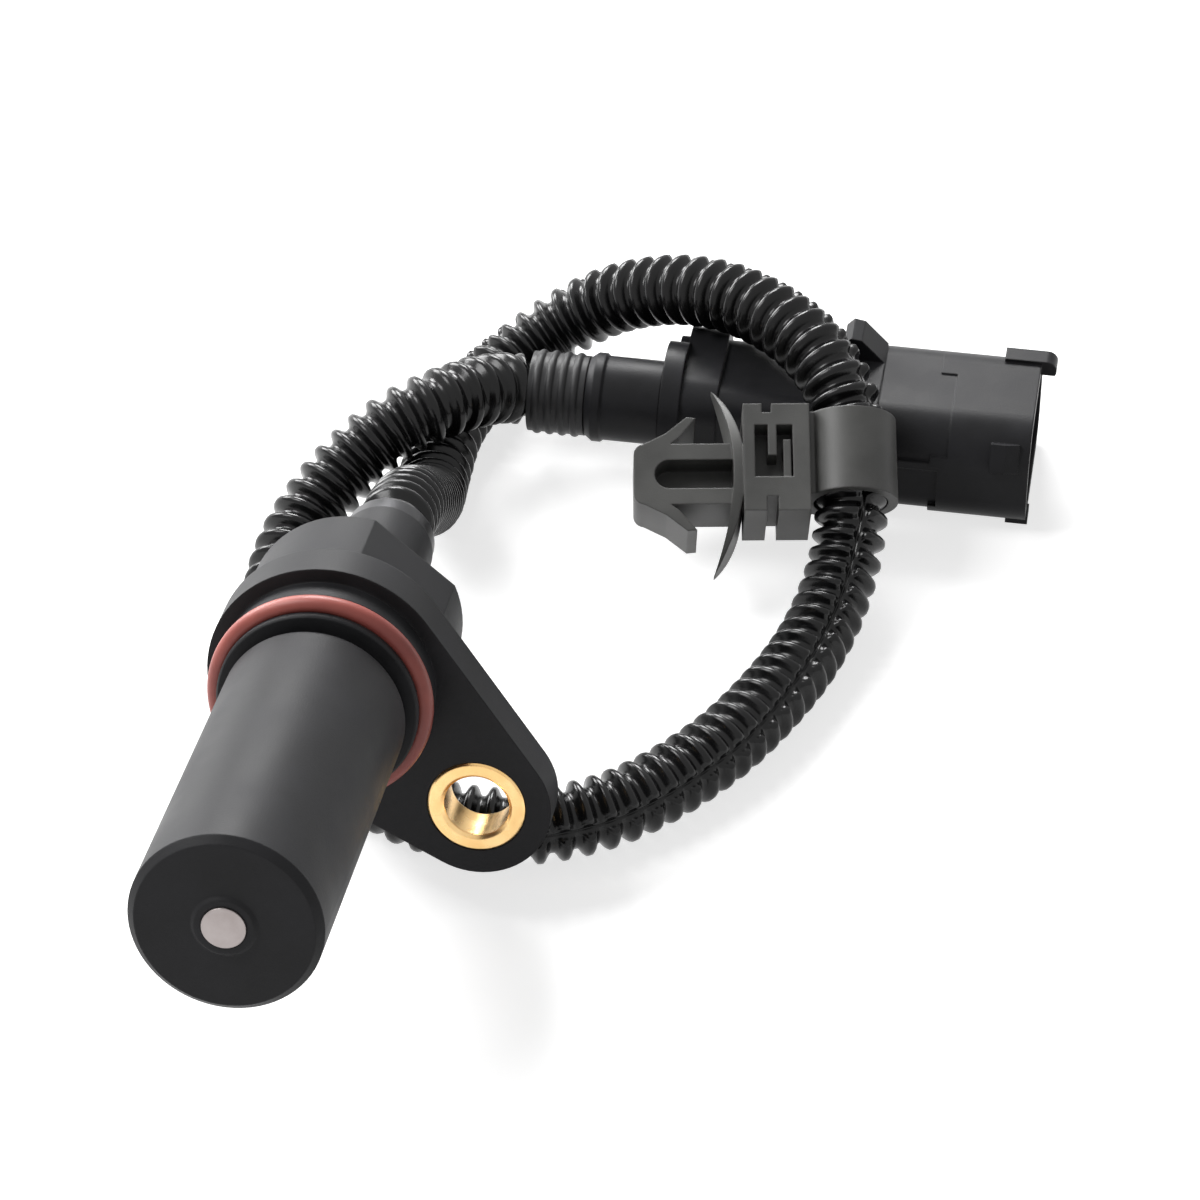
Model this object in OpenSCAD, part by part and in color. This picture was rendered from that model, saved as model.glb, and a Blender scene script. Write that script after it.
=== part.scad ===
// Inductive crankshaft position sensor: a barrel head with a bolt-on ear, a corrugated cable
// conduit in a loop, a plug and a clip that holds the conduit to a panel.
// Millimetres. Origin: centre of the flange's mounting face, on the barrel's axis.
// X runs to the right along the plug, Y runs back, Z is up. The barrel points to -Y, nose up.

/* [Barrel] */
// Nose-up angle of the head as it lies on its cable, degrees
head_pitch = 14; // [0:0.5:30]
// Radius of the sensing barrel
barrel_r = 9; // [6:0.1:14]
// Distance from the mounting face to the barrel's tip
barrel_len = 46.6; // [30:0.1:70]
// Chamfer round the tip
tip_chamfer = 0.7; // [0.2:0.1:2]
// Radius of the shoulder behind the barrel
shoulder_r = 0.9; // [0.4:0.1:2.5]

/* [Seal] */
// Gap between the pilot collar and the sealing ring
seal_gap = 0.1; // [0.05:0.05:1]
// Section radius of the sealing ring
seal_section_r = 0.95; // [0.8:0.01:2]
// Radius of the ring groove's floor
groove_r = 9.2; // [5:0.05:12]
// Radius of the lip in front of the sealing ring
lip_r = 9.9; // [9.4:0.05:11]
// Radius of the pilot collar between ring and flange
pilot_r = 10.6; // [8:0.1:13]
// Length of the pilot collar
pilot_len = 2.8; // [1:0.1:5]

/* [Flange] */
// Radius of the flange round the barrel
flange_r = 12; // [9:0.1:18]
// Flange thickness
flange_t = 4.5; // [3:0.1:8]
// Distance from the barrel's axis to the bolt's axis
ear_reach = 19.4; // [15:0.1:30]
// Angle of the ear below the horizontal, degrees
ear_drop = 39.7; // [0:0.1:90]
// Radius of the ear's end
ear_r = 7.4; // [6:0.1:12]

/* [Bush] */
// Outer radius of the brass bush
bush_r = 4.9; // [4:0.05:7]
// Inner radius of the brass bush, for an M6 bolt
bush_bore_r = 3.25; // [2.5:0.05:5]
// How far the bush stands out of the flange on each side
bush_proud = 0.15; // [0:0.05:0.6]

/* [Rear body] */
// Radius of the body behind the flange
rear_r = 10.8; // [8:0.1:14]
// Length of the body behind the flange
rear_len = 9.5; // [6:0.1:16]
// Distance from the axis to the flat on the body's upper right
rear_flat = 9.5; // [7:0.1:11]
// Radius of the cable neck
neck_r = 4.8; // [4.4:0.1:7]
// Length of the cable neck
neck_len = 6.4; // [4:0.1:16]
// Sideways place of the cable neck
neck_x = 1.7; // [-3:0.1:4]
// Height of the cable neck above the barrel's axis
neck_s = 4.2; // [0:0.1:5]
// Length of the metal ferrule on the neck's end
ferrule_len = 2.2; // [1:0.1:4]

/* [Sensing element] */
// Radius of the steel pole piece
pole_r = 2.05; // [1.2:0.05:3]
// How far the pole piece stands out of the tip
pole_proud = 0.45; // [0.1:0.05:1]
// Outer radius of the coil winding
winding_r = 5.4; // [4:0.1:6.2]
// Radius of the magnet
magnet_r = 4.5; // [3:0.1:4.6]
// Length of the magnet
magnet_len = 8; // [4:0.1:12]

/* [Conduit] */
// Outside radius over the corrugation's crests
conduit_r = 3.9; // [3:0.05:5.5]
// Inside radius of the conduit
conduit_bore_r = 2.75; // [2.5:0.05:4]
// Radius of each wire over its insulation
wire_r = 0.8; // [0.5:0.05:0.9]

/* [Boot] */
// Length of the ribbed boot at the plug
boot_len = 6.2; // [4:0.1:14]
// Radius over the boot's ribs
boot_r = 4.6; // [4.2:0.05:6]
// Number of ribs
boot_ribs = 4; // [2:1:8]

/* [Plug] */
// Radius of the rear retainer on the plug
retainer_r = 4.85; // [4.5:0.05:7]
// Length of the rear retainer
retainer_len = 8.2; // [6:0.1:14]
// Width of the plug's mouth
shroud_w = 18.2; // [14:0.1:24]
// Height of the plug's mouth
shroud_h = 12.4; // [11:0.1:18]
// Wall of the plug's mouth
shroud_wall = 1.3; // [0.8:0.1:2]
// Length of the plug's mouth
shroud_len = 10.6; // [6:0.1:16]
// Spacing of the contact pins
pin_pitch = 3.4; // [2.5:0.1:4]
// Depth of the socket in front of the wall that holds the pins
socket_depth = 13.5; // [11:0.1:15]

/* [Clip] */
// Tilt of the conduit where the clip holds it, degrees from upright
clip_lean = 61; // [30:1:90]
// Turn of the clip about the upright, degrees
clip_turn = 9.5; // [-20:0.5:30]
// Width of the clip's band along the conduit
band_w = 9.2; // [6:0.1:14]
// Wall of the clip's band
band_wall = 1.05; // [0.6:0.05:2]
// Reach of the arrow from the conduit's middle
arrow_reach = 22.9; // [19:0.1:26]

/* [Hidden] */

fine = 72;
small = 36;
gap = 0.05;

// Head places, measured from the mounting face along the barrel, towards the tip
tip_wall = 2.5;
cavity_r = 6.8;
cavity_front = barrel_len - tip_wall;
cavity_back = -(flange_t + rear_len) + 2.4;
neck_back = -(flange_t + rear_len + neck_len);
ferrule_back = neck_back - ferrule_len;
seal_at = pilot_len + seal_gap + seal_section_r;
groove_front = seal_at + seal_section_r + 0.1;
relief_back = groove_front + 0.75;
shoulder_back = relief_back + 0.9;
bobbin_front = cavity_front - 0.1;
bobbin_back = 14;
bobbin_wall = 1.2;
nose_len = 15;
coil_front = bobbin_front - nose_len;
bobbin_flange_r = 6.6;
core_wall = 0.95;
bobbin_core_r = pole_r + core_wall;
pole_back = bobbin_back - 2;
magnet_back = pole_back - magnet_len;
yoke_t = 1.6;
yoke_back = magnet_back - yoke_t;
terminal_x = 5.3;
splice_gap = 1.4;
splice_len = 5;
splice_front = yoke_back - splice_gap;
splice_back = splice_front - splice_len;
terminal_tail = 2.5;
ear_x = ear_reach * cos(ear_drop);
ear_s = -ear_reach * sin(ear_drop);

// Plug places along X and the heights of its middle lines
retainer_x = 15;
body_x = retainer_x + retainer_len;
ring_x = body_x + 18.8;
throat_x = ring_x + 4.6;
shroud_x = throat_x + 6.2;
mouth_x = shroud_x + shroud_len;
socket_x = mouth_x - socket_depth;
pin_tip_x = mouth_x - 4.8;
crimp_x = socket_x - 9;
plug_y = 66.8;
plug_z = -16.5;
body_y = 69.3;
shroud_y = 70;
throat_w = shroud_w - 0.8;
throat_y = shroud_y + 0.2;
floor_z = -25;
pin_z = floor_z + shroud_h / 2;

// The clip's place and the direction of the conduit through it, pointing up the conduit
clip_at = [44.8, 55.2, -12.5];
clip_up = [-sin(clip_turn) * sin(clip_lean), cos(clip_turn) * sin(clip_lean), cos(clip_lean)];

// A point of the head, given by its place across, up and along the barrel
function head_point(x, s, t) = [
    x,
    s * sin(head_pitch) - t * cos(head_pitch),
    s * cos(head_pitch) + t * sin(head_pitch)];

// The conduit's middle line: out of the neck, down, round the loop, under the head and to the plug
route = [
    head_point(neck_x, neck_s, neck_back + 2),
    head_point(neck_x, neck_s, ferrule_back),
    head_point(neck_x, neck_s, ferrule_back - 4),
    [1.4, 34.2, -6.2],
    [0.8, 42.6, -13.1],
    [0.3, 50, -18.9],
    [-0.2, 57, -21],
    [0, 64.4, -21.1],
    [1.8, 71.2, -21.1],
    [5.2, 76.9, -20.5],
    [9.4, 80.4, -18.4],
    [14, 81.4, -15.4],
    [18.9, 80.2, -12.2],
    [24.6, 77.8, -9.3],
    [30.9, 74.3, -7.5],
    [37, 69.2, -6.7],
    [41.4, 64.2, -7.6],
    clip_at + 5 * clip_up,
    clip_at,
    clip_at - 6 * clip_up,
    [45.4, 44.6, -18.7],
    [43.9, 37.4, -20.9],
    [41, 28.4, -21.1],
    [35.8, 18.2, -21.1],
    [28.4, 9.5, -21.1],
    [20.8, 4.9, -21.1],
    [13.6, 3.8, -21.1],
    [6.6, 5, -21.1],
    [-0.6, 9.6, -21.1],
    [-6.8, 16.6, -21.1],
    [-11, 25.6, -21.1],
    [-13, 35.4, -21],
    [-12.2, 43.6, -19.3],
    [-9, 50, -16.6],
    [-4.6, 54.6, -13.8],
    [-0.4, 57.8, -12.6],
    [3, 61.5, -13.4],
    [5.5, 64.9, -15.1],
    [8, plug_y, plug_z + 0.05],
    [retainer_x + 3, plug_y, plug_z]];

// Sweep helpers: unit vectors, tangents and normals that do not twist along a line of points
function unit(v) = v / norm(v);
function tangent(p, i) = unit(p[min(i + 1, len(p) - 1)] - p[max(i - 1, 0)]);
function square_to(n, t) = unit(n - (n * t) * t);
function normals(p) = [
    for (i = 0, n = square_to([1, 0, 0], tangent(p, 0)); i < len(p);
        i = i + 1, n = square_to(n, tangent(p, min(i, len(p) - 1)))) n];
function ring(c, t, n, r, sides) = [
    for (k = [0 : sides - 1])
        c + r * (cos(360 * k / sides) * n + sin(360 * k / sides) * cross(t, n))];
function band_faces(rows, sides, start, step, inward) = [
    for (i = [0 : rows - 2]) for (k = [0 : sides - 1])
        let (a = start + i * step + k)
        let (b = start + i * step + (k + 1) % sides)
        for (f = inward
            ? [[a, b, b + step], [a, b + step, a + step]]
            : [[a, b + step, b], [a, a + step, b + step]]) f];

// A solid rod along a line of points
module rod(p, r, sides) {
    nn = normals(p);
    last = (len(p) - 1) * sides;
    points = [for (i = [0 : len(p) - 1]) each ring(p[i], tangent(p, i), nn[i], r, sides)];
    faces = concat(
        band_faces(len(p), sides, 0, sides, false),
        [[for (k = [0 : sides - 1]) k]],
        [[for (k = [0 : sides - 1]) last + sides - 1 - k]]);
    polyhedron(points, faces, convexity = 12);
}

// A pipe along a line of points
module pipe(p, r, bore, sides) {
    nn = normals(p);
    step = 2 * sides;
    last = (len(p) - 1) * step;
    points = [
        for (i = [0 : len(p) - 1])
            each concat(
                ring(p[i], tangent(p, i), nn[i], r, sides),
                ring(p[i], tangent(p, i), nn[i], bore, sides))];
    near = [
        for (k = [0 : sides - 1])
            let (m = (k + 1) % sides)
            for (f = [[k, m, m + sides], [k, m + sides, k + sides]]) f];
    far = [
        for (k = [0 : sides - 1])
            let (m = (k + 1) % sides)
            for (f = [
                [last + k, last + m + sides, last + m],
                [last + k, last + k + sides, last + m + sides]]) f];
    faces = concat(
        band_faces(len(p), sides, 0, step, false),
        band_faces(len(p), sides, sides, step, true),
        near,
        far);
    polyhedron(points, faces, convexity = 12);
}

// The wires run side by side in the conduit, from the splices to the pins
function bundle(i, turn) =
    let (nn = normals(route))
    let (t = tangent(route, i))
    route[i] + 1.1 * (cos(turn) * nn[i] + sin(turn) * cross(t, nn[i]));
function in_conduit(turn) = [for (i = [0 : len(route) - 1]) bundle(i, turn)];
function bundle_end(turn) = bundle(len(route) - 1, turn) - route[len(route) - 1];
function to_pin(turn, side) = [
    [body_x + 1.2, plug_y, plug_z] + bundle_end(turn),
    [body_x + 9.4, shroud_y + side * pin_pitch, pin_z + 0.2],
    [crimp_x - 3, shroud_y + side * pin_pitch, pin_z],
    [crimp_x + 2.4, shroud_y + side * pin_pitch, pin_z]];

// Places a child that is drawn along the barrel
module on_head() rotate([90 - head_pitch, 0, 0]) children();

// A block with round corners, drawn across Y and Z and stretched along X
module rounded_bar(x, len, w, h, top_r, foot_r, y, z) {
    translate([x, y, z])
        rotate([90, 0, 90])
            linear_extrude(len) {
                translate([-w / 2 + top_r, foot_r]) square([w - 2 * top_r, h - foot_r]);
                translate([-w / 2 + foot_r, 0]) square([w - 2 * foot_r, h - top_r]);
                translate([-w / 2, foot_r]) square([w, h - top_r - foot_r]);
                for (m = [-1, 1]) {
                    translate([m * (w / 2 - top_r), h - top_r]) circle(top_r, $fn = fine);
                    translate([m * (w / 2 - foot_r), foot_r]) circle(foot_r, $fn = fine);
                }
            }
}

// A round rod along X
module x_rod(x, len, r, y, z) {
    translate([x, y, z]) rotate([0, 90, 0]) cylinder(r = r, h = len, $fn = fine);
}

// The flange outline: two circles and the straight sides that touch both
module flange_outline() {
    side = acos((flange_r - ear_r) / ear_reach);
    a = -ear_drop + side;
    b = -ear_drop - side;
    ear = [ear_x, ear_s];
    circle(flange_r, $fn = fine);
    translate(ear) circle(ear_r, $fn = fine);
    polygon([
        flange_r * [cos(a), sin(a)],
        ear + ear_r * [cos(a), sin(a)],
        ear + ear_r * [cos(b), sin(b)],
        flange_r * [cos(b), sin(b)]]);
}

module housing_solid() {
    rotate_extrude($fn = fine) {
        polygon([
            [0, -1],
            [pilot_r - 0.3, -1],
            [pilot_r - 0.3, 0],
            [pilot_r, 0],
            [pilot_r, pilot_len - 0.2],
            [pilot_r - 0.2, pilot_len],
            [groove_r, pilot_len],
            [groove_r, groove_front],
            [lip_r, groove_front],
            [lip_r, relief_back - 0.2],
            [lip_r - 0.2, relief_back],
            [barrel_r - shoulder_r, relief_back],
            [barrel_r - shoulder_r, shoulder_back + shoulder_r],
            [barrel_r, shoulder_back + shoulder_r],
            [barrel_r, barrel_len - tip_chamfer],
            [barrel_r - tip_chamfer, barrel_len],
            [pole_r + 1.05, barrel_len],
            [pole_r + 0.7, barrel_len + 0.3],
            [0, barrel_len + 0.3]]);
        intersection() {
            translate([barrel_r - shoulder_r, shoulder_back + shoulder_r])
                circle(shoulder_r, $fn = small);
            translate([0, shoulder_back]) square([barrel_r, shoulder_r]);
        }
    }
    translate([0, 0, -flange_t]) linear_extrude(flange_t) flange_outline();
    difference() {
        translate([0, 0, -flange_t - rear_len]) cylinder(r = rear_r, h = rear_len + 0.5, $fn = fine);
        rotate([0, 0, 52])
            translate([rear_flat, -15, -flange_t - rear_len - 1])
                cube([10, 30, rear_len + 1]);
    }
    translate([neck_x, neck_s, neck_back])
        cylinder(r = neck_r, h = neck_len + 1, $fn = fine);
}

module housing_hollow() {
    translate([0, 0, cavity_back])
        cylinder(r = cavity_r, h = cavity_front - cavity_back, $fn = fine);
    cylinder(r = pole_r + gap, h = barrel_len + 2, $fn = small);
    translate([neck_x, neck_s, neck_back - 1])
        cylinder(r = 2.4, h = cavity_back - neck_back + 2, $fn = small);
    translate([neck_x, neck_s, neck_back - 1])
        cylinder(r = conduit_r + gap, h = 3.05, $fn = small);
    translate([ear_x, ear_s, -flange_t - 1])
        cylinder(r = bush_r + 0.02, h = flange_t + 2, $fn = fine);
}

module sensor_housing() {
    color([0.13, 0.13, 0.14])
        on_head()
            difference() {
                housing_solid();
                housing_hollow();
            }
}

module pole_piece() {
    color([0.72, 0.69, 0.68])
        on_head()
            translate([0, 0, pole_back])
                cylinder(r = pole_r, h = barrel_len + pole_proud - pole_back, $fn = small);
}

module coil_bobbin() {
    span = bobbin_front - bobbin_back;
    color([0.85, 0.82, 0.74])
        on_head()
            difference() {
                union() {
                    translate([0, 0, bobbin_back])
                        cylinder(r = bobbin_core_r, h = span, $fn = small);
                    translate([0, 0, bobbin_back])
                        cylinder(r = bobbin_flange_r, h = bobbin_wall, $fn = fine);
                    translate([0, 0, coil_front])
                        cylinder(r = bobbin_flange_r, h = bobbin_wall, $fn = fine);
                    translate([0, 0, bobbin_front - bobbin_wall])
                        cylinder(r = bobbin_flange_r, h = bobbin_wall, $fn = fine);
                }
                translate([0, 0, bobbin_back - 1])
                    cylinder(r = pole_r + gap, h = span + 2, $fn = small);
            }
}

module coil_winding() {
    start = bobbin_back + bobbin_wall + 0.05;
    span = coil_front - bobbin_back - bobbin_wall - 0.1;
    color([0.72, 0.38, 0.18])
        on_head()
            translate([0, 0, start])
                difference() {
                    cylinder(r = winding_r, h = span, $fn = fine);
                    translate([0, 0, -1])
                        cylinder(r = bobbin_core_r + gap, h = span + 2, $fn = small);
                }
}

module magnet() {
    color([0.35, 0.35, 0.38])
        on_head()
            translate([0, 0, magnet_back])
                cylinder(r = magnet_r, h = magnet_len - 0.02, $fn = small);
}

module yoke_plate() {
    color([0.6, 0.6, 0.62])
        on_head()
            translate([0, 0, yoke_back])
                cylinder(r = magnet_r, h = yoke_t - 0.02, $fn = small);
}

// A flat strip from the coil's bobbin back to a splice
module terminal(side) {
    front = bobbin_back - 0.05;
    color([0.8, 0.66, 0.36])
        on_head()
            translate([side * terminal_x - 0.25, -0.75, splice_front - terminal_tail])
                cube([0.5, 1.5, front - splice_front + terminal_tail]);
}

module signal_terminal() terminal(-1);

module return_terminal() terminal(1);

// A crimped sleeve that joins a wire to a terminal
module splice(side) {
    color([0.78, 0.72, 0.55])
        on_head()
            translate([side * terminal_x, 0, splice_back])
                difference() {
                    cylinder(r = wire_r + 0.4, h = splice_front - splice_back, $fn = small);
                    translate([0, 0, -1])
                        cylinder(r = wire_r + 0.08, h = splice_front - splice_back + 2, $fn = small);
                }
}

module signal_splice() splice(-1);

module return_splice() splice(1);

module o_ring() {
    color([0.5, 0.22, 0.2])
        on_head()
            translate([0, 0, seal_at])
                rotate_extrude($fn = fine)
                    translate([groove_r + seal_section_r + 0.02, 0])
                        circle(seal_section_r, $fn = small);
}

module mounting_bush() {
    edge = 0.35;
    color([0.85, 0.66, 0.35])
        on_head()
            translate([ear_x, ear_s, 0])
                rotate_extrude($fn = fine)
                    polygon([
                        [bush_bore_r + edge, bush_proud],
                        [bush_r - 0.25, bush_proud],
                        [bush_r, bush_proud - 0.25],
                        [bush_r, -flange_t - bush_proud + 0.25],
                        [bush_r - 0.25, -flange_t - bush_proud],
                        [bush_bore_r + edge, -flange_t - bush_proud],
                        [bush_bore_r, -flange_t - bush_proud + edge],
                        [bush_bore_r, bush_proud - edge]]);
}

module neck_ferrule() {
    color([0.55, 0.55, 0.57])
        on_head()
            translate([neck_x, neck_s, ferrule_back])
                difference() {
                    cylinder(r = neck_r - 0.2, h = ferrule_len - 0.02, $fn = fine);
                    translate([0, 0, -1])
                        cylinder(r = conduit_r + gap, h = ferrule_len + 2, $fn = small);
                }
}

module conduit() {
    color([0.08, 0.08, 0.09]) pipe(route, conduit_r, conduit_bore_r, 10);
}

// A wire that starts at a coil splice
module coil_wire(side, turn, pin_side) {
    lead = [
        head_point(side * terminal_x, 0, splice_back + 2.2),
        head_point(side * terminal_x, 0, splice_back - 0.6),
        head_point(neck_x + side * 0.95, neck_s + 0.55, cavity_back + 0.4)];
    rod(concat(lead, in_conduit(turn), to_pin(turn, pin_side)), wire_r, 8);
}

module signal_wire() {
    color([0.75, 0.75, 0.72]) coil_wire(-1, 210, 0);
}

module return_wire() {
    color([0.3, 0.3, 0.32]) coil_wire(1, 330, -1);
}

module shield_wire() {
    lead = [
        head_point(1.1, 2.9, yoke_back - 0.05),
        head_point(1.1, 2.9, yoke_back - 8),
        head_point(neck_x, neck_s - 1.1, cavity_back + 0.4)];
    color([0.5, 0.42, 0.3])
        rod(concat(lead, in_conduit(90), to_pin(90, 1)), wire_r, 8);
}

module cable_boot() {
    rib = boot_len / (boot_ribs + 0.5);
    color([0.1, 0.1, 0.11])
        translate([retainer_x - boot_len - 0.05, plug_y, plug_z])
            rotate([0, 90, 0])
                difference() {
                    union() {
                        cylinder(r = boot_r - 0.25, h = boot_len, $fn = fine);
                        for (i = [1 : boot_ribs])
                            translate([0, 0, (i - 0.3) * rib])
                                rotate_extrude($fn = fine)
                                    translate([boot_r - 0.5, 0]) circle(0.5, $fn = 20);
                    }
                    translate([0, 0, -1])
                        cylinder(r = conduit_r + 0.2, h = boot_len + 2, $fn = small);
                }
}

module rear_retainer() {
    color([0.1, 0.1, 0.11])
        translate([retainer_x, plug_y, plug_z])
            rotate([0, 90, 0])
                rotate_extrude($fn = fine)
                    polygon([
                        [conduit_r + gap, 0],
                        [retainer_r - 0.6, 0],
                        [retainer_r, 0.8],
                        [retainer_r, 1.7],
                        [retainer_r - 0.25, 2],
                        [retainer_r - 0.25, retainer_len - 0.03],
                        [3.2, retainer_len - 0.03],
                        [3.2, 4],
                        [2.9, 4],
                        [2.9, 3.1],
                        [conduit_r + gap, 3.1]]);
}

module wire_seal() {
    color([0.35, 0.25, 0.2])
        difference() {
            x_rod(retainer_x + 4.02, retainer_len - 4.2, 3.18, plug_y, plug_z);
            for (turn = [90, 210, 330])
                translate([retainer_x + 3, plug_y, plug_z] + bundle_end(turn))
                    rotate([0, 90, 0]) cylinder(r = wire_r + gap, h = 8, $fn = small);
        }
}

// The plug's outside: rear collar, body with its block, ridge, throat and mouth
module plug_solid() {
    x_rod(body_x, 2.2, 6.7, body_y - 0.9, floor_z + 7.4);
    rounded_bar(body_x + 1, ring_x - body_x, 12.6, shroud_h - 0.4, 2.5, 2.5, body_y, floor_z + 0.4);
    rounded_bar(body_x + 2, 4.2, 14.8, shroud_h + 0.1, 3.6, 2.5, body_y + 0.8, floor_z + 0.4);
    rounded_bar(ring_x, throat_x - ring_x, 16, shroud_h, 4.2, 3, body_y + 0.3, floor_z);
    plug_throat(throat_x - 0.5, 8);
    difference() {
        rounded_bar(shroud_x, shroud_len, shroud_w, shroud_h, 5.2, 4, shroud_y, floor_z);
        throat_panels();
    }
    plug_ribs();
}

module plug_throat(x, len) {
    rounded_bar(x, len, throat_w, shroud_h - 0.65, 4.6, 3, throat_y, floor_z + 0.5);
}

// The throat's upper and lower panels run on into the mouth's rear edge
module throat_panels() {
    front = shroud_y - shroud_w / 2 - 1;
    difference() {
        translate([shroud_x - 1, front, floor_z + shroud_h - 3.2]) cube([2.8, 12, 8]);
        plug_throat(shroud_x - 2, 6);
    }
    difference() {
        translate([shroud_x - 1, front, floor_z + 2.6]) cube([1.9, 4, 5.4]);
        plug_throat(shroud_x - 2, 6);
    }
}

// The ridge's lug, the throat's rib, and the mouth's key, lock wedge and foot
module plug_ribs() {
    shoulder_y = shroud_y - shroud_w / 2 + 5.2;
    shoulder_z = floor_z + shroud_h - 5.2;
    translate([ring_x, body_y + 6.9, floor_z + shroud_h])
        rotate([90, 0, 0])
            linear_extrude(3.6)
                polygon([[0, -1.6], [0, 2], [0.8, 2.9], [2, 2.7], [4.6, -0.1], [4.6, -1.6]]);
    translate([throat_x, throat_y - throat_w / 2 - 0.4, floor_z + shroud_h - 4.9])
        cube([shroud_x - throat_x + 2, 3, 1]);
    translate([mouth_x - 4, shroud_y + 5, floor_z + shroud_h - 2]) cube([4.5, 2, 2.3]);
    translate([mouth_x + 0.5, shroud_y + 5, floor_z + shroud_h - 0.85])
        rotate([-90, 0, 0]) cylinder(r = 1.15, h = 2, $fn = small);
    translate([mouth_x - 4.2, shoulder_y, shoulder_z])
        rotate([-30, 0, 0])
            translate([0, 0, -1.5])
                linear_extrude(3.1)
                    polygon([[0, -4.4], [0, -6.2], [1.7, -6.2], [3.1, -5.4], [3.1, -4.4]]);
    translate([mouth_x - 2.2, shroud_y - 7.4, floor_z + 0.1]) cube([2.4, 2.2, 1.1]);
}

module plug_hollow() {
    wall = shroud_wall;
    way = body_x + 11;
    rounded_bar(socket_x, socket_depth + 1, 11.4, 8.6, 3, 2.4, shroud_y, pin_z - 4.1);
    rounded_bar(shroud_x + 2.8, shroud_len, shroud_w - 2 * wall, shroud_h - 2 * wall,
        5.2 - wall, 4 - wall, shroud_y, floor_z + wall);
    rounded_bar(body_x + 1.6, 10, 10.4, 5.8, 2, 2, body_y + 0.1, pin_z - 2.4);
    x_rod(body_x - 1, 5, 3.15, plug_y, plug_z);
    for (side = [-1, 0, 1]) {
        x_rod(way, crimp_x + 6.5 - way, 1.3, shroud_y + side * pin_pitch, pin_z);
        translate([crimp_x, shroud_y + side * pin_pitch - 0.78, pin_z - 0.43])
            cube([socket_x - crimp_x + 1, 1.56, 0.86]);
    }
}

module plug_housing() {
    color([0.12, 0.12, 0.13])
        difference() {
            plug_solid();
            plug_hollow();
        }
}

// A contact blade with the crimped sleeve that holds its wire
module contact_pin(side) {
    color([0.8, 0.75, 0.6]) {
        translate([crimp_x + 2.5, shroud_y + side * pin_pitch - 0.75, pin_z - 0.4])
            cube([pin_tip_x - crimp_x - 2.5, 1.5, 0.8]);
        difference() {
            x_rod(crimp_x - 1.5, 4.5, 1.15, shroud_y + side * pin_pitch, pin_z);
            x_rod(crimp_x - 2.5, 4.95, wire_r + gap, shroud_y + side * pin_pitch, pin_z);
        }
    }
}

module signal_pin() contact_pin(0);

module return_pin() contact_pin(-1);

module shield_pin() contact_pin(1);

// The clip's arrow, drawn across its reach and along the conduit
module arrow_outline() {
    back = -12.2;
    tip = -arrow_reach;
    low = -2;
    translate([0, low]) {
        translate([tip + 1.2, -3.4]) square([-tip + back - 1.2, 6.8]);
        translate([tip, -2.2]) square([3, 4.4]);
        for (m = [-1, 1]) {
            translate([tip + 1.2, m * 2.2]) circle(1.2, $fn = small);
            polygon([
                [tip + 0.3, m * 3],
                [tip + 3.4, m * 4.6],
                [tip + 5.6, m * 6.4],
                [tip + 6.6, m * 6.3],
                [tip + 4.8, m * 4.1],
                [tip + 3.6, m * 3.2]]);
        }
    }
}

// The blind slot down the arrow's middle
module arrow_slot() {
    tip = -arrow_reach;
    translate([0, -2]) {
        translate([tip + 3.8, 0]) circle(1.6, $fn = small);
        translate([tip + 3.8, -1.6]) square([-tip - 12.2 - 3.8, 3.2]);
    }
}

// The clip's umbrella leaf, which presses on the panel: a bent blade that thins to a point at each end
module clip_leaf() {
    outer_bend = 18;
    inner_bend = 26.4;
    depth = 5;
    side_bend = 14.6;
    translate([0, 1.2, -2])
        intersection() {
            rotate([90, 0, 0])
                linear_extrude(2 * depth + 2, center = true)
                    difference() {
                        translate([-11.2 - outer_bend, 0]) circle(outer_bend, $fn = 90);
                        translate([-12.4 - inner_bend, 0]) circle(inner_bend, $fn = 120);
                    }
            translate([-17.5, 0, 0])
                rotate([90, 0, 90])
                    linear_extrude(7)
                        intersection() {
                            translate([side_bend - depth, 0]) circle(side_bend, $fn = 90);
                            translate([depth - side_bend, 0]) circle(side_bend, $fn = 90);
                        }
        }
}

module clip_shape() {
    band_r = conduit_r + gap + band_wall;
    difference() {
        union() {
            translate([0, 0, -band_w / 2]) cylinder(r = band_r, h = band_w, $fn = fine);
            translate([-11.4, -4.6, -7]) cube([7, 9.2, 12]);
            translate([-5, -3.2, -band_w / 2]) cube([3, 6.4, band_w]);
        }
        translate([0, 0, -band_w]) cylinder(r = conduit_r + gap, h = 2 * band_w, $fn = small);
        translate([-10.2, -5, -3.2]) cube([4, 3.4, 5.8]);
        translate([-9, -5, -8]) cube([1.2, 10, 2.6]);
        translate([-9.4, -5, 4]) cube([1, 10, 2]);
    }
    translate([-8.8, -4.6, -0.8]) cube([0.9, 3.6, 4]);
    translate([-7.2, -4.4, -3.4]) cube([0.8, 3.2, 4.4]);
    difference() {
        translate([0, 4.7, 0]) rotate([90, 0, 0]) linear_extrude(7) arrow_outline();
        translate([0, 1.2, 0]) rotate([90, 0, 0]) linear_extrude(4) arrow_slot();
    }
    clip_leaf();
}

module conduit_clip() {
    color([0.2, 0.2, 0.21])
        translate(clip_at)
            rotate([-clip_lean, 0, clip_turn])
                clip_shape();
}

sensor_housing();
pole_piece();
coil_bobbin();
coil_winding();
magnet();
yoke_plate();
signal_terminal();
return_terminal();
signal_splice();
return_splice();
o_ring();
mounting_bush();
neck_ferrule();
conduit();
signal_wire();
return_wire();
shield_wire();
cable_boot();
rear_retainer();
wire_seal();
plug_housing();
signal_pin();
return_pin();
shield_pin();
conduit_clip();
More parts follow.
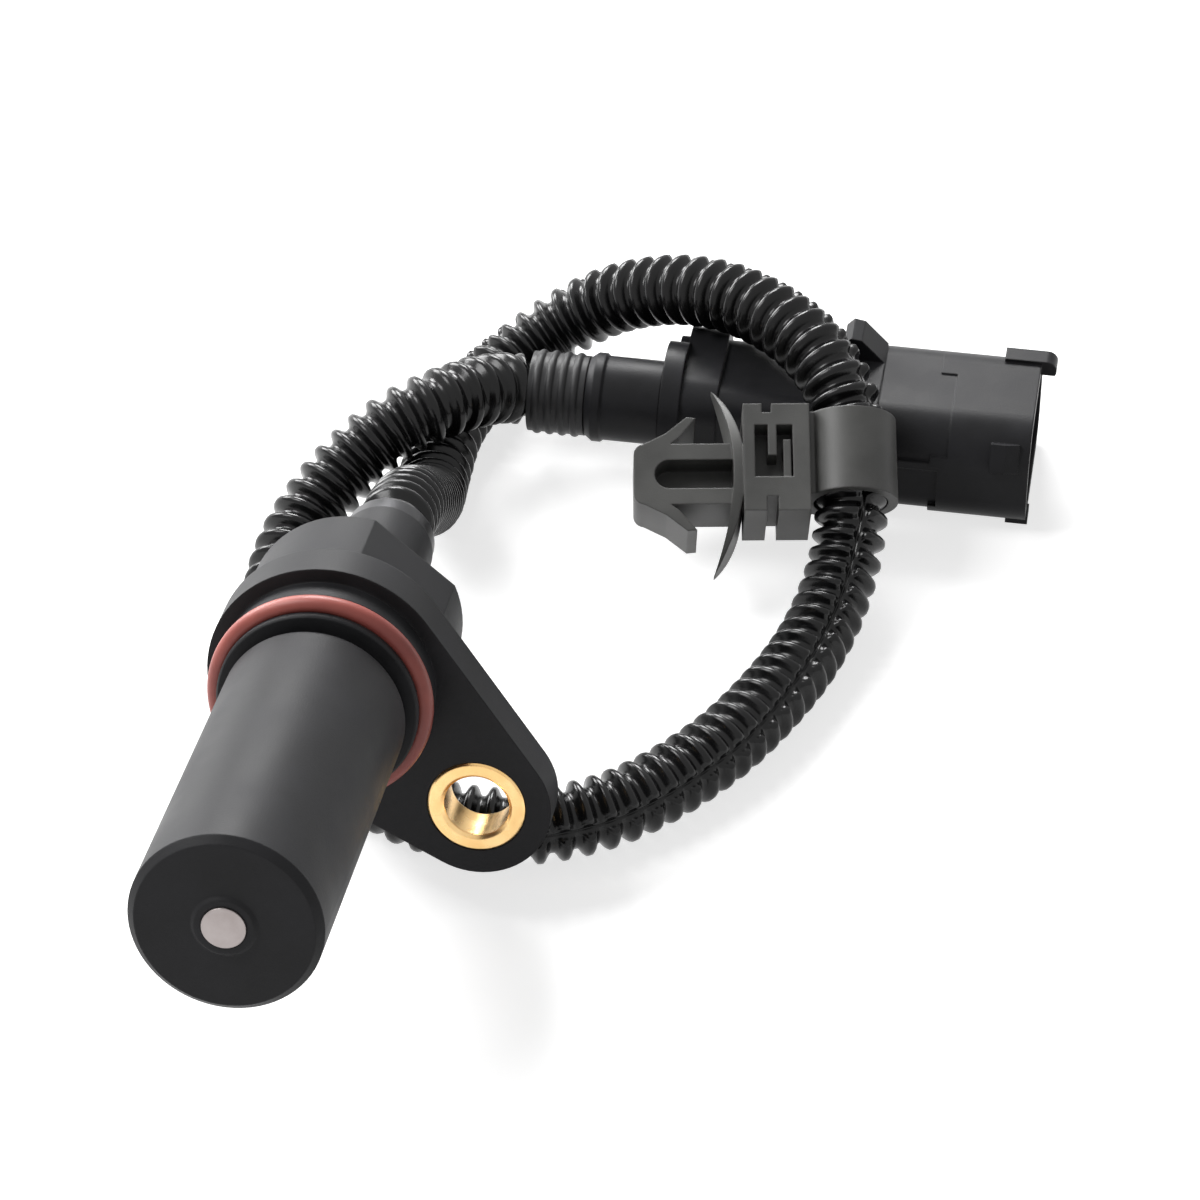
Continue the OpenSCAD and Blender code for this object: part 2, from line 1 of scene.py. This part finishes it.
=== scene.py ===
"""Crankshaft position sensor: materials, corrugated conduit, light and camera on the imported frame."""

import math

import bpy
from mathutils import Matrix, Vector


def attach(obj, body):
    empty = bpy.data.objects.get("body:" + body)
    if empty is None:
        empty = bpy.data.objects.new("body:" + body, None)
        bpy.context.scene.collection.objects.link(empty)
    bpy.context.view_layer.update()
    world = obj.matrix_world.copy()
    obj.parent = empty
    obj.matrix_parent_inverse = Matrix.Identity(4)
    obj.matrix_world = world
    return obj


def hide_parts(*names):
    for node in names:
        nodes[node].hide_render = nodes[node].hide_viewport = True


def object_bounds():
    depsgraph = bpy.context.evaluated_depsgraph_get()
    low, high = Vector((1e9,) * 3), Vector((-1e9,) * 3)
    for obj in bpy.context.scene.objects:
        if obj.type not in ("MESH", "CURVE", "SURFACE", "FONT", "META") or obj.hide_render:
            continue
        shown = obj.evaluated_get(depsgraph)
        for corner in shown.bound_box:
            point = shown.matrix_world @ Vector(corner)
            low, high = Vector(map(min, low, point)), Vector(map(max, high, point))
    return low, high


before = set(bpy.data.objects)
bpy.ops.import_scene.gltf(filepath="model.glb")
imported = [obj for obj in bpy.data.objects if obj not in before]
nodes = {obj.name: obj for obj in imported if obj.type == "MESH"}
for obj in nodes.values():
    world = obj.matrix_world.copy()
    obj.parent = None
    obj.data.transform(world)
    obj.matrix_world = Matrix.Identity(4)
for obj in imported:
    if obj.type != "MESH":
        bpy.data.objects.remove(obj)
cad_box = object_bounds()

# Camera: where the photograph was taken from, in metres and degrees
CAMERA_AT = (0.0814, -0.3493, 0.3278)
CAMERA_AZIMUTH = 8.90
CAMERA_ELEVATION = 41.59
CAMERA_LENS = 150.0
CAMERA_SENSOR = 36.0

# Conduit: sizes in metres, angles in degrees
CONDUIT_R = 0.0039
CONDUIT_ROOT_R = 0.0029
CONDUIT_BORE_R = 0.00275
CONDUIT_PITCH = 0.00225
RINGS_PER_CREST = 10
ROUTE_STEPS = 12
SLIT_HALF = 1.8
SLIT_WALL = 0.5
NOTCH_HALF = 4.5
LIP_RISE = 8.0
PLAIN_START = 8.0
PLAIN_ANGLES = 26

# The conduit's middle line, the same points as the solid's
ROUTE = [
    (0.0017, 0.01887, -0.00038),
    (0.0017, 0.02294, -0.00139),
    (0.0017, 0.02683, -0.00236),
    (0.0014, 0.0342, -0.0062),
    (0.0008, 0.0426, -0.0131),
    (0.0003, 0.0500, -0.0189),
    (-0.0002, 0.0570, -0.0210),
    (0.0, 0.0644, -0.0211),
    (0.0018, 0.0712, -0.0211),
    (0.0052, 0.0769, -0.0205),
    (0.0094, 0.0804, -0.0184),
    (0.0140, 0.0814, -0.0154),
    (0.0189, 0.0802, -0.0122),
    (0.0246, 0.0778, -0.0093),
    (0.0309, 0.0743, -0.0075),
    (0.0370, 0.0692, -0.0067),
    (0.0414, 0.0642, -0.0076),
    (0.04408, 0.05951, -0.01008),
    (0.0448, 0.0552, -0.0125),
    (0.04567, 0.05002, -0.01541),
    (0.0454, 0.0446, -0.0187),
    (0.0439, 0.0374, -0.0209),
    (0.0410, 0.0284, -0.0211),
    (0.0358, 0.0182, -0.0211),
    (0.0284, 0.0095, -0.0211),
    (0.0208, 0.0049, -0.0211),
    (0.0136, 0.0038, -0.0211),
    (0.0066, 0.0050, -0.0211),
    (-0.0006, 0.0096, -0.0211),
    (-0.0068, 0.0166, -0.0211),
    (-0.0110, 0.0256, -0.0211),
    (-0.0130, 0.0354, -0.0210),
    (-0.0122, 0.0436, -0.0193),
    (-0.0090, 0.0500, -0.0166),
    (-0.0046, 0.0546, -0.0138),
    (-0.0004, 0.0578, -0.0126),
    (0.0030, 0.0615, -0.0134),
    (0.0055, 0.0649, -0.0151),
    (0.0080, 0.0668, -0.01645),
    (0.0180, 0.0668, -0.0165),
]

# Which way the conduit's slit faces, at shares of its length
SLIT_FACES = [
    (0.00, (0.0, 0.3, -1.0)),
    (0.15, (-0.5, 0.3, -0.7)),
    (0.22, (-0.5, 0.6, 0.7)),
    (0.30, (-0.1, 0.8, 0.6)),
    (0.38, (0.6, 0.5, 0.65)),
    (0.42, (0.6, -0.1, 0.7)),
    (0.455, (0.37, -0.37, 0.86)),
    (0.50, (0.4, -0.45, 0.8)),
    (0.56, (0.47, -0.7, 0.5)),
    (0.62, (0.25, -0.9, 0.38)),
    (0.68, (0.0, -0.95, 0.3)),
    (0.72, (-0.3, -0.9, 0.3)),
    (0.80, (-0.9, -0.1, -0.2)),
    (0.92, (-0.8, 0.5, -0.3)),
    (1.00, (-0.3, 0.8, -0.4)),
]

# Stage: the floor's width in metres, its colour and glow, and the surround's light and look
FLOOR_SIZE = 3.0
FLOOR_TONE = 0.62
FLOOR_GLOW = 0.72
WORLD_LIGHT = 0.20
WORLD_SEEN = 1.0


def spline_point(p0, p1, p2, p3, u):
    """A point between p1 and p2 on a smooth line through all four."""
    a = 2.0 * p1
    b = (p2 - p0) * u
    c = (2.0 * p0 - 5.0 * p1 + 4.0 * p2 - p3) * u * u
    d = (3.0 * p1 - p0 - 3.0 * p2 + p3) * u * u * u
    return 0.5 * (a + b + c + d)


def smooth_line(points, steps):
    """A smooth line through the points, with that many steps between two of them."""
    pts = [Vector(p) for p in points]
    ends = [2.0 * pts[0] - pts[1]] + pts + [2.0 * pts[-1] - pts[-2]]
    line = []
    for i in range(len(pts) - 1):
        for k in range(steps):
            line.append(spline_point(ends[i], ends[i + 1], ends[i + 2], ends[i + 3], k / steps))
    line.append(pts[-1])
    return line


def even_line(line, spacing):
    """The same line with its points an even distance apart, and its length."""
    along = [0.0]
    for a, b in zip(line, line[1:]):
        along.append(along[-1] + (b - a).length)
    count = max(2, round(along[-1] / spacing))
    out = []
    j = 0
    for i in range(count + 1):
        want = along[-1] * i / count
        while j < len(line) - 2 and along[j + 1] < want:
            j += 1
        span = max(along[j + 1] - along[j], 1e-9)
        out.append(line[j].lerp(line[j + 1], min(1.0, (want - along[j]) / span)))
    return out, along[-1]


def slit_face(share):
    """The slit's direction at a share of the conduit's length."""
    for (s0, d0), (s1, d1) in zip(SLIT_FACES, SLIT_FACES[1:]):
        if share <= s1:
            return Vector(d0).lerp(Vector(d1), (share - s0) / (s1 - s0))
    return Vector(SLIT_FACES[-1][1])


def conduit_angles():
    """Angles round a ring, close together at the slit and along its lips."""
    lip_middle = NOTCH_HALF + 0.5 * LIP_RISE
    lip_top = NOTCH_HALF + LIP_RISE
    near = [0.0, SLIT_HALF, SLIT_HALF + SLIT_WALL, NOTCH_HALF, lip_middle, lip_top]
    first = lip_top + PLAIN_START
    step = (360.0 - 2.0 * first) / (PLAIN_ANGLES - 1)
    far = [first + step * k for k in range(PLAIN_ANGLES)]
    return near + far + [360.0 - a for a in reversed(near[1:])]


def crest_height(phase):
    """0 along a valley, 1 along a crest, with steep flanks between them."""
    wave = 0.5 - 0.5 * math.cos(2.0 * math.pi * phase)
    return wave * wave * (3.0 - 2.0 * wave)


def conduit_radius(phase, angle):
    """The conduit's outside at that phase of the corrugation and angle from the slit."""
    off = min(angle, 360.0 - angle)
    if off < SLIT_HALF + 0.1:
        return CONDUIT_BORE_R
    full = min(1.0, max(0.0, (off - NOTCH_HALF) / LIP_RISE))
    rise = full * full * (3.0 - 2.0 * full)
    return CONDUIT_ROOT_R + (CONDUIT_R - CONDUIT_ROOT_R) * crest_height(phase) * rise


def make_conduit():
    """The corrugated, split conduit as one mesh along its route."""
    line, length = even_line(smooth_line(ROUTE, ROUTE_STEPS), CONDUIT_PITCH / RINGS_PER_CREST)
    angles = conduit_angles()
    sides = len(angles)
    verts = []
    for i, point in enumerate(line):
        ahead = line[min(i + 1, len(line) - 1)]
        behind = line[max(i - 1, 0)]
        tangent = (ahead - behind).normalized()
        face = slit_face(i / (len(line) - 1))
        out = (face - face.dot(tangent) * tangent).normalized()
        side = tangent.cross(out)
        phase = i / RINGS_PER_CREST
        for angle in angles:
            turn = math.radians(angle)
            radius = conduit_radius(phase, angle)
            verts.append(point + radius * (math.cos(turn) * out + math.sin(turn) * side))
    faces = []
    for i in range(len(line) - 1):
        for k in range(sides):
            m = (k + 1) % sides
            a = i * sides
            b = a + sides
            faces.append((a + k, a + m, b + m, b + k))
    faces.append(tuple(range(sides - 1, -1, -1)))
    last = (len(line) - 1) * sides
    faces.append(tuple(range(last, last + sides)))
    mesh = bpy.data.meshes.new("conduit_corrugated")
    mesh.from_pydata([tuple(v) for v in verts], [], faces)
    mesh.polygons.foreach_set("use_smooth", [True] * len(faces))
    mesh.update()
    piece = bpy.data.objects.new("conduit_corrugated", mesh)
    bpy.context.scene.collection.objects.link(piece)
    return piece, line, length


def add_node(tree, kind, x, y):
    """A new node at a place on the material's sheet."""
    node = tree.nodes.new(kind)
    node.location = (x, y)
    return node


def new_material(name, color, roughness, metallic=0.0):
    """A material with a Principled shader; returns the material, its tree and the shader."""
    material = bpy.data.materials.new(name)
    material.use_nodes = True
    tree = material.node_tree
    shader = tree.nodes["Principled BSDF"]
    shader.inputs["Base Color"].default_value = (*color, 1.0)
    shader.inputs["Roughness"].default_value = roughness
    shader.inputs["Metallic"].default_value = metallic
    return material, tree, shader


def object_noise(tree, scale, detail, x, y):
    """Noise fixed to the object, in metres."""
    place = add_node(tree, "ShaderNodeTexCoord", x - 220, y)
    noise = add_node(tree, "ShaderNodeTexNoise", x, y)
    noise.inputs["Scale"].default_value = scale
    noise.inputs["Detail"].default_value = detail
    tree.links.new(place.outputs["Object"], noise.inputs["Vector"])
    return noise


def vary(tree, shader, socket, noise, low, high):
    """Drives one number of the shader from a noise, between two values."""
    spread = add_node(tree, "ShaderNodeMapRange", -320, 120)
    spread.inputs["From Min"].default_value = 0.3
    spread.inputs["From Max"].default_value = 0.7
    spread.inputs["To Min"].default_value = low
    spread.inputs["To Max"].default_value = high
    tree.links.new(noise.outputs["Fac"], spread.inputs["Value"])
    tree.links.new(spread.outputs["Result"], shader.inputs[socket])


def vary_color(tree, shader, noise, dark, light):
    """Shifts the colour between two tones with a noise."""
    ramp = add_node(tree, "ShaderNodeValToRGB", -360, 360)
    ramp.color_ramp.elements[0].position = 0.35
    ramp.color_ramp.elements[0].color = (*dark, 1.0)
    ramp.color_ramp.elements[1].position = 0.68
    ramp.color_ramp.elements[1].color = (*light, 1.0)
    tree.links.new(noise.outputs["Fac"], ramp.inputs["Fac"])
    tree.links.new(ramp.outputs["Color"], shader.inputs["Base Color"])


def roughen(tree, shader, noise, height, edge):
    """Fine bumps from a noise, over edges that are rounded by a small radius in metres."""
    round_edge = add_node(tree, "ShaderNodeBevel", -360, -420)
    round_edge.samples = 4
    round_edge.inputs["Radius"].default_value = edge
    bump = add_node(tree, "ShaderNodeBump", -180, -300)
    bump.inputs["Strength"].default_value = 0.5
    bump.inputs["Distance"].default_value = height
    tree.links.new(noise.outputs["Fac"], bump.inputs["Height"])
    tree.links.new(round_edge.outputs["Normal"], bump.inputs["Normal"])
    tree.links.new(bump.outputs["Normal"], shader.inputs["Normal"])


def moulded_plastic(name, dark, light, smooth, rough, grain, shine=0.5, edge=0.00025):
    """Moulded plastic or rubber: cloudy tone, uneven gloss and a fine grain."""
    material, tree, shader = new_material(name, light, rough)
    shader.inputs["Specular IOR Level"].default_value = shine
    cloud = object_noise(tree, 160.0, 3.0, -760, 300)
    vary_color(tree, shader, cloud, dark, light)
    vary(tree, shader, "Roughness", cloud, smooth, rough)
    fine = object_noise(tree, 5200.0, 2.0, -760, -280)
    roughen(tree, shader, fine, grain, edge)
    return material


def turned_metal(name, color, dark, smooth, rough, edge=0.0002):
    """Turned metal: uneven gloss, slight tarnish and fine tool marks."""
    material, tree, shader = new_material(name, color, rough, 1.0)
    cloud = object_noise(tree, 420.0, 4.0, -760, 300)
    vary_color(tree, shader, cloud, dark, color)
    vary(tree, shader, "Roughness", cloud, smooth, rough)
    marks = object_noise(tree, 6500.0, 1.0, -760, -280)
    roughen(tree, shader, marks, 0.000015, edge)
    return material


def paint(material, *names):
    """Gives CAD nodes a material."""
    for name in names:
        mesh = nodes[name].data
        mesh.materials.clear()
        mesh.materials.append(material)


def make_materials():
    """Every material, assigned to the CAD nodes; returns the conduit's."""
    head = moulded_plastic(
        "head_plastic", (0.015, 0.015, 0.016), (0.023, 0.023, 0.025), 0.44, 0.56, 0.00003, 0.14)
    plug = moulded_plastic(
        "plug_plastic", (0.011, 0.011, 0.012), (0.017, 0.017, 0.019), 0.36, 0.48, 0.00002, 0.13)
    clip = moulded_plastic(
        "clip_plastic", (0.052, 0.052, 0.050), (0.078, 0.078, 0.075), 0.40, 0.52, 0.00002, 0.36)
    conduit = moulded_plastic(
        "conduit_plastic", (0.004, 0.004, 0.0043), (0.008, 0.008, 0.0085),
        0.18, 0.28, 0.000010, 0.27, 0.00006)
    boot = moulded_plastic(
        "boot_rubber", (0.014, 0.014, 0.015), (0.022, 0.022, 0.023), 0.36, 0.50, 0.00002, 0.25)
    ring = moulded_plastic(
        "seal_rubber", (0.25, 0.060, 0.050), (0.38, 0.100, 0.080), 0.34, 0.46, 0.000015, 0.35)
    bobbin = moulded_plastic(
        "bobbin_plastic", (0.55, 0.50, 0.40), (0.70, 0.66, 0.56), 0.40, 0.55, 0.00002)
    magnet = moulded_plastic(
        "magnet_body", (0.08, 0.08, 0.085), (0.14, 0.14, 0.15), 0.35, 0.50, 0.00002)
    wire_light = moulded_plastic(
        "wire_light", (0.50, 0.50, 0.47), (0.62, 0.62, 0.58), 0.35, 0.48, 0.00001)
    wire_dark = moulded_plastic(
        "wire_dark", (0.05, 0.05, 0.055), (0.09, 0.09, 0.10), 0.35, 0.48, 0.00001)
    wire_brown = moulded_plastic(
        "wire_brown", (0.22, 0.14, 0.08), (0.32, 0.21, 0.13), 0.35, 0.48, 0.00001)
    brass = turned_metal("bush_brass", (0.90, 0.62, 0.29), (0.78, 0.50, 0.21), 0.20, 0.32)
    steel = turned_metal("pole_steel", (0.36, 0.325, 0.318), (0.28, 0.247, 0.24), 0.34, 0.48)
    ferrule = turned_metal("ferrule_steel", (0.055, 0.055, 0.058), (0.035, 0.035, 0.037), 0.30, 0.42)
    copper = turned_metal("coil_copper", (0.66, 0.30, 0.14), (0.50, 0.20, 0.09), 0.25, 0.40)
    contact = turned_metal("contact_metal", (0.76, 0.66, 0.44), (0.62, 0.52, 0.33), 0.22, 0.34)
    paint(head, "sensor_housing")
    paint(plug, "plug_housing", "rear_retainer")
    paint(clip, "conduit_clip")
    paint(boot, "cable_boot")
    paint(ring, "o_ring", "wire_seal")
    paint(bobbin, "coil_bobbin")
    paint(magnet, "magnet")
    paint(wire_light, "signal_wire")
    paint(wire_dark, "return_wire")
    paint(wire_brown, "shield_wire")
    paint(brass, "mounting_bush")
    paint(steel, "pole_piece", "yoke_plate")
    paint(ferrule, "neck_ferrule")
    paint(copper, "coil_winding")
    paint(contact, "signal_terminal", "return_terminal", "signal_splice", "return_splice")
    paint(contact, "signal_pin", "return_pin", "shield_pin")
    return conduit


def make_camera():
    """The camera, at the photograph's viewing angle."""
    data = bpy.data.cameras.new("camera")
    data.lens = CAMERA_LENS
    data.sensor_width = CAMERA_SENSOR
    data.sensor_fit = "HORIZONTAL"
    data.clip_start = 0.01
    camera = bpy.data.objects.new("camera", data)
    camera.location = CAMERA_AT
    camera.rotation_euler = (math.radians(90.0 - CAMERA_ELEVATION), 0.0, math.radians(CAMERA_AZIMUTH))
    bpy.context.scene.collection.objects.link(camera)
    bpy.context.scene.camera = camera


def seen_directly(tree, x, y):
    """1 for what the camera sees itself, in a reflection or through glass, otherwise 0."""
    path = add_node(tree, "ShaderNodeLightPath", x, y)
    first = add_node(tree, "ShaderNodeMath", x + 200, y)
    first.operation = "MAXIMUM"
    tree.links.new(path.outputs["Is Camera Ray"], first.inputs[0])
    tree.links.new(path.outputs["Is Glossy Ray"], first.inputs[1])
    second = add_node(tree, "ShaderNodeMath", x + 400, y)
    second.operation = "MAXIMUM"
    tree.links.new(first.outputs["Value"], second.inputs[0])
    tree.links.new(path.outputs["Is Transmission Ray"], second.inputs[1])
    return second


def make_floor(height):
    """A plain white floor that keeps the object's soft shadow."""
    half = FLOOR_SIZE / 2.0
    mesh = bpy.data.meshes.new("floor")
    corners = [(-half, -half, height), (half, -half, height), (half, half, height), (-half, half, height)]
    mesh.from_pydata(corners, [], [(0, 1, 2, 3)])
    floor = bpy.data.objects.new("floor", mesh)
    bpy.context.scene.collection.objects.link(floor)
    material, tree, shader = new_material("floor_white", (FLOOR_TONE,) * 3, 0.9)
    shader.inputs["Specular IOR Level"].default_value = 0.0
    seen = seen_directly(tree, -900, -200)
    glow = add_node(tree, "ShaderNodeMath", -300, -200)
    glow.operation = "MULTIPLY"
    glow.inputs[1].default_value = FLOOR_GLOW
    tree.links.new(seen.outputs["Value"], glow.inputs[0])
    shader.inputs["Emission Color"].default_value = (1.0, 1.0, 1.0, 1.0)
    tree.links.new(glow.outputs["Value"], shader.inputs["Emission Strength"])
    mesh.materials.append(material)


def make_world():
    """A white surround: soft light on the object, plain white where it is seen."""
    world = bpy.data.worlds.new("studio")
    bpy.context.scene.world = world
    world.use_nodes = True
    tree = world.node_tree
    background = tree.nodes["Background"]
    background.inputs["Color"].default_value = (1.0, 1.0, 1.0, 1.0)
    seen = seen_directly(tree, -1000, 0)
    level = add_node(tree, "ShaderNodeMapRange", -300, 0)
    level.inputs["To Min"].default_value = WORLD_LIGHT
    level.inputs["To Max"].default_value = WORLD_SEEN
    tree.links.new(seen.outputs["Value"], level.inputs["Value"])
    tree.links.new(level.outputs["Result"], background.inputs["Strength"])


def make_lamp(name, place, aim, size, watts):
    """A square soft lamp that points at a place on the object."""
    data = bpy.data.lights.new(name, "AREA")
    data.shape = "SQUARE"
    data.size = size
    data.energy = watts
    lamp = bpy.data.objects.new(name, data)
    lamp.location = place
    lamp.rotation_euler = (Vector(aim) - Vector(place)).to_track_quat("-Z", "Y").to_euler()
    bpy.context.scene.collection.objects.link(lamp)


def make_lights():
    """A lamp above and behind, one behind on the left, and a weak one on the left side."""
    aim = (0.02, 0.03, -0.01)
    make_lamp("key_lamp", (-0.18, 0.74, 0.50), aim, 0.34, 9.0)
    make_lamp("back_lamp", (-0.72, 0.60, 0.34), aim, 0.42, 10.0)
    make_lamp("side_lamp", (-0.50, 0.00, 0.66), aim, 0.36, 5.0)


bpy.context.scene.view_settings.view_transform = "Standard"
make_camera()

conduit, conduit_line, conduit_length = make_conduit()
conduit.data.materials.append(make_materials())
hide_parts("conduit")
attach(conduit, "root")

make_floor(cad_box[0][2])
make_world()
make_lights()
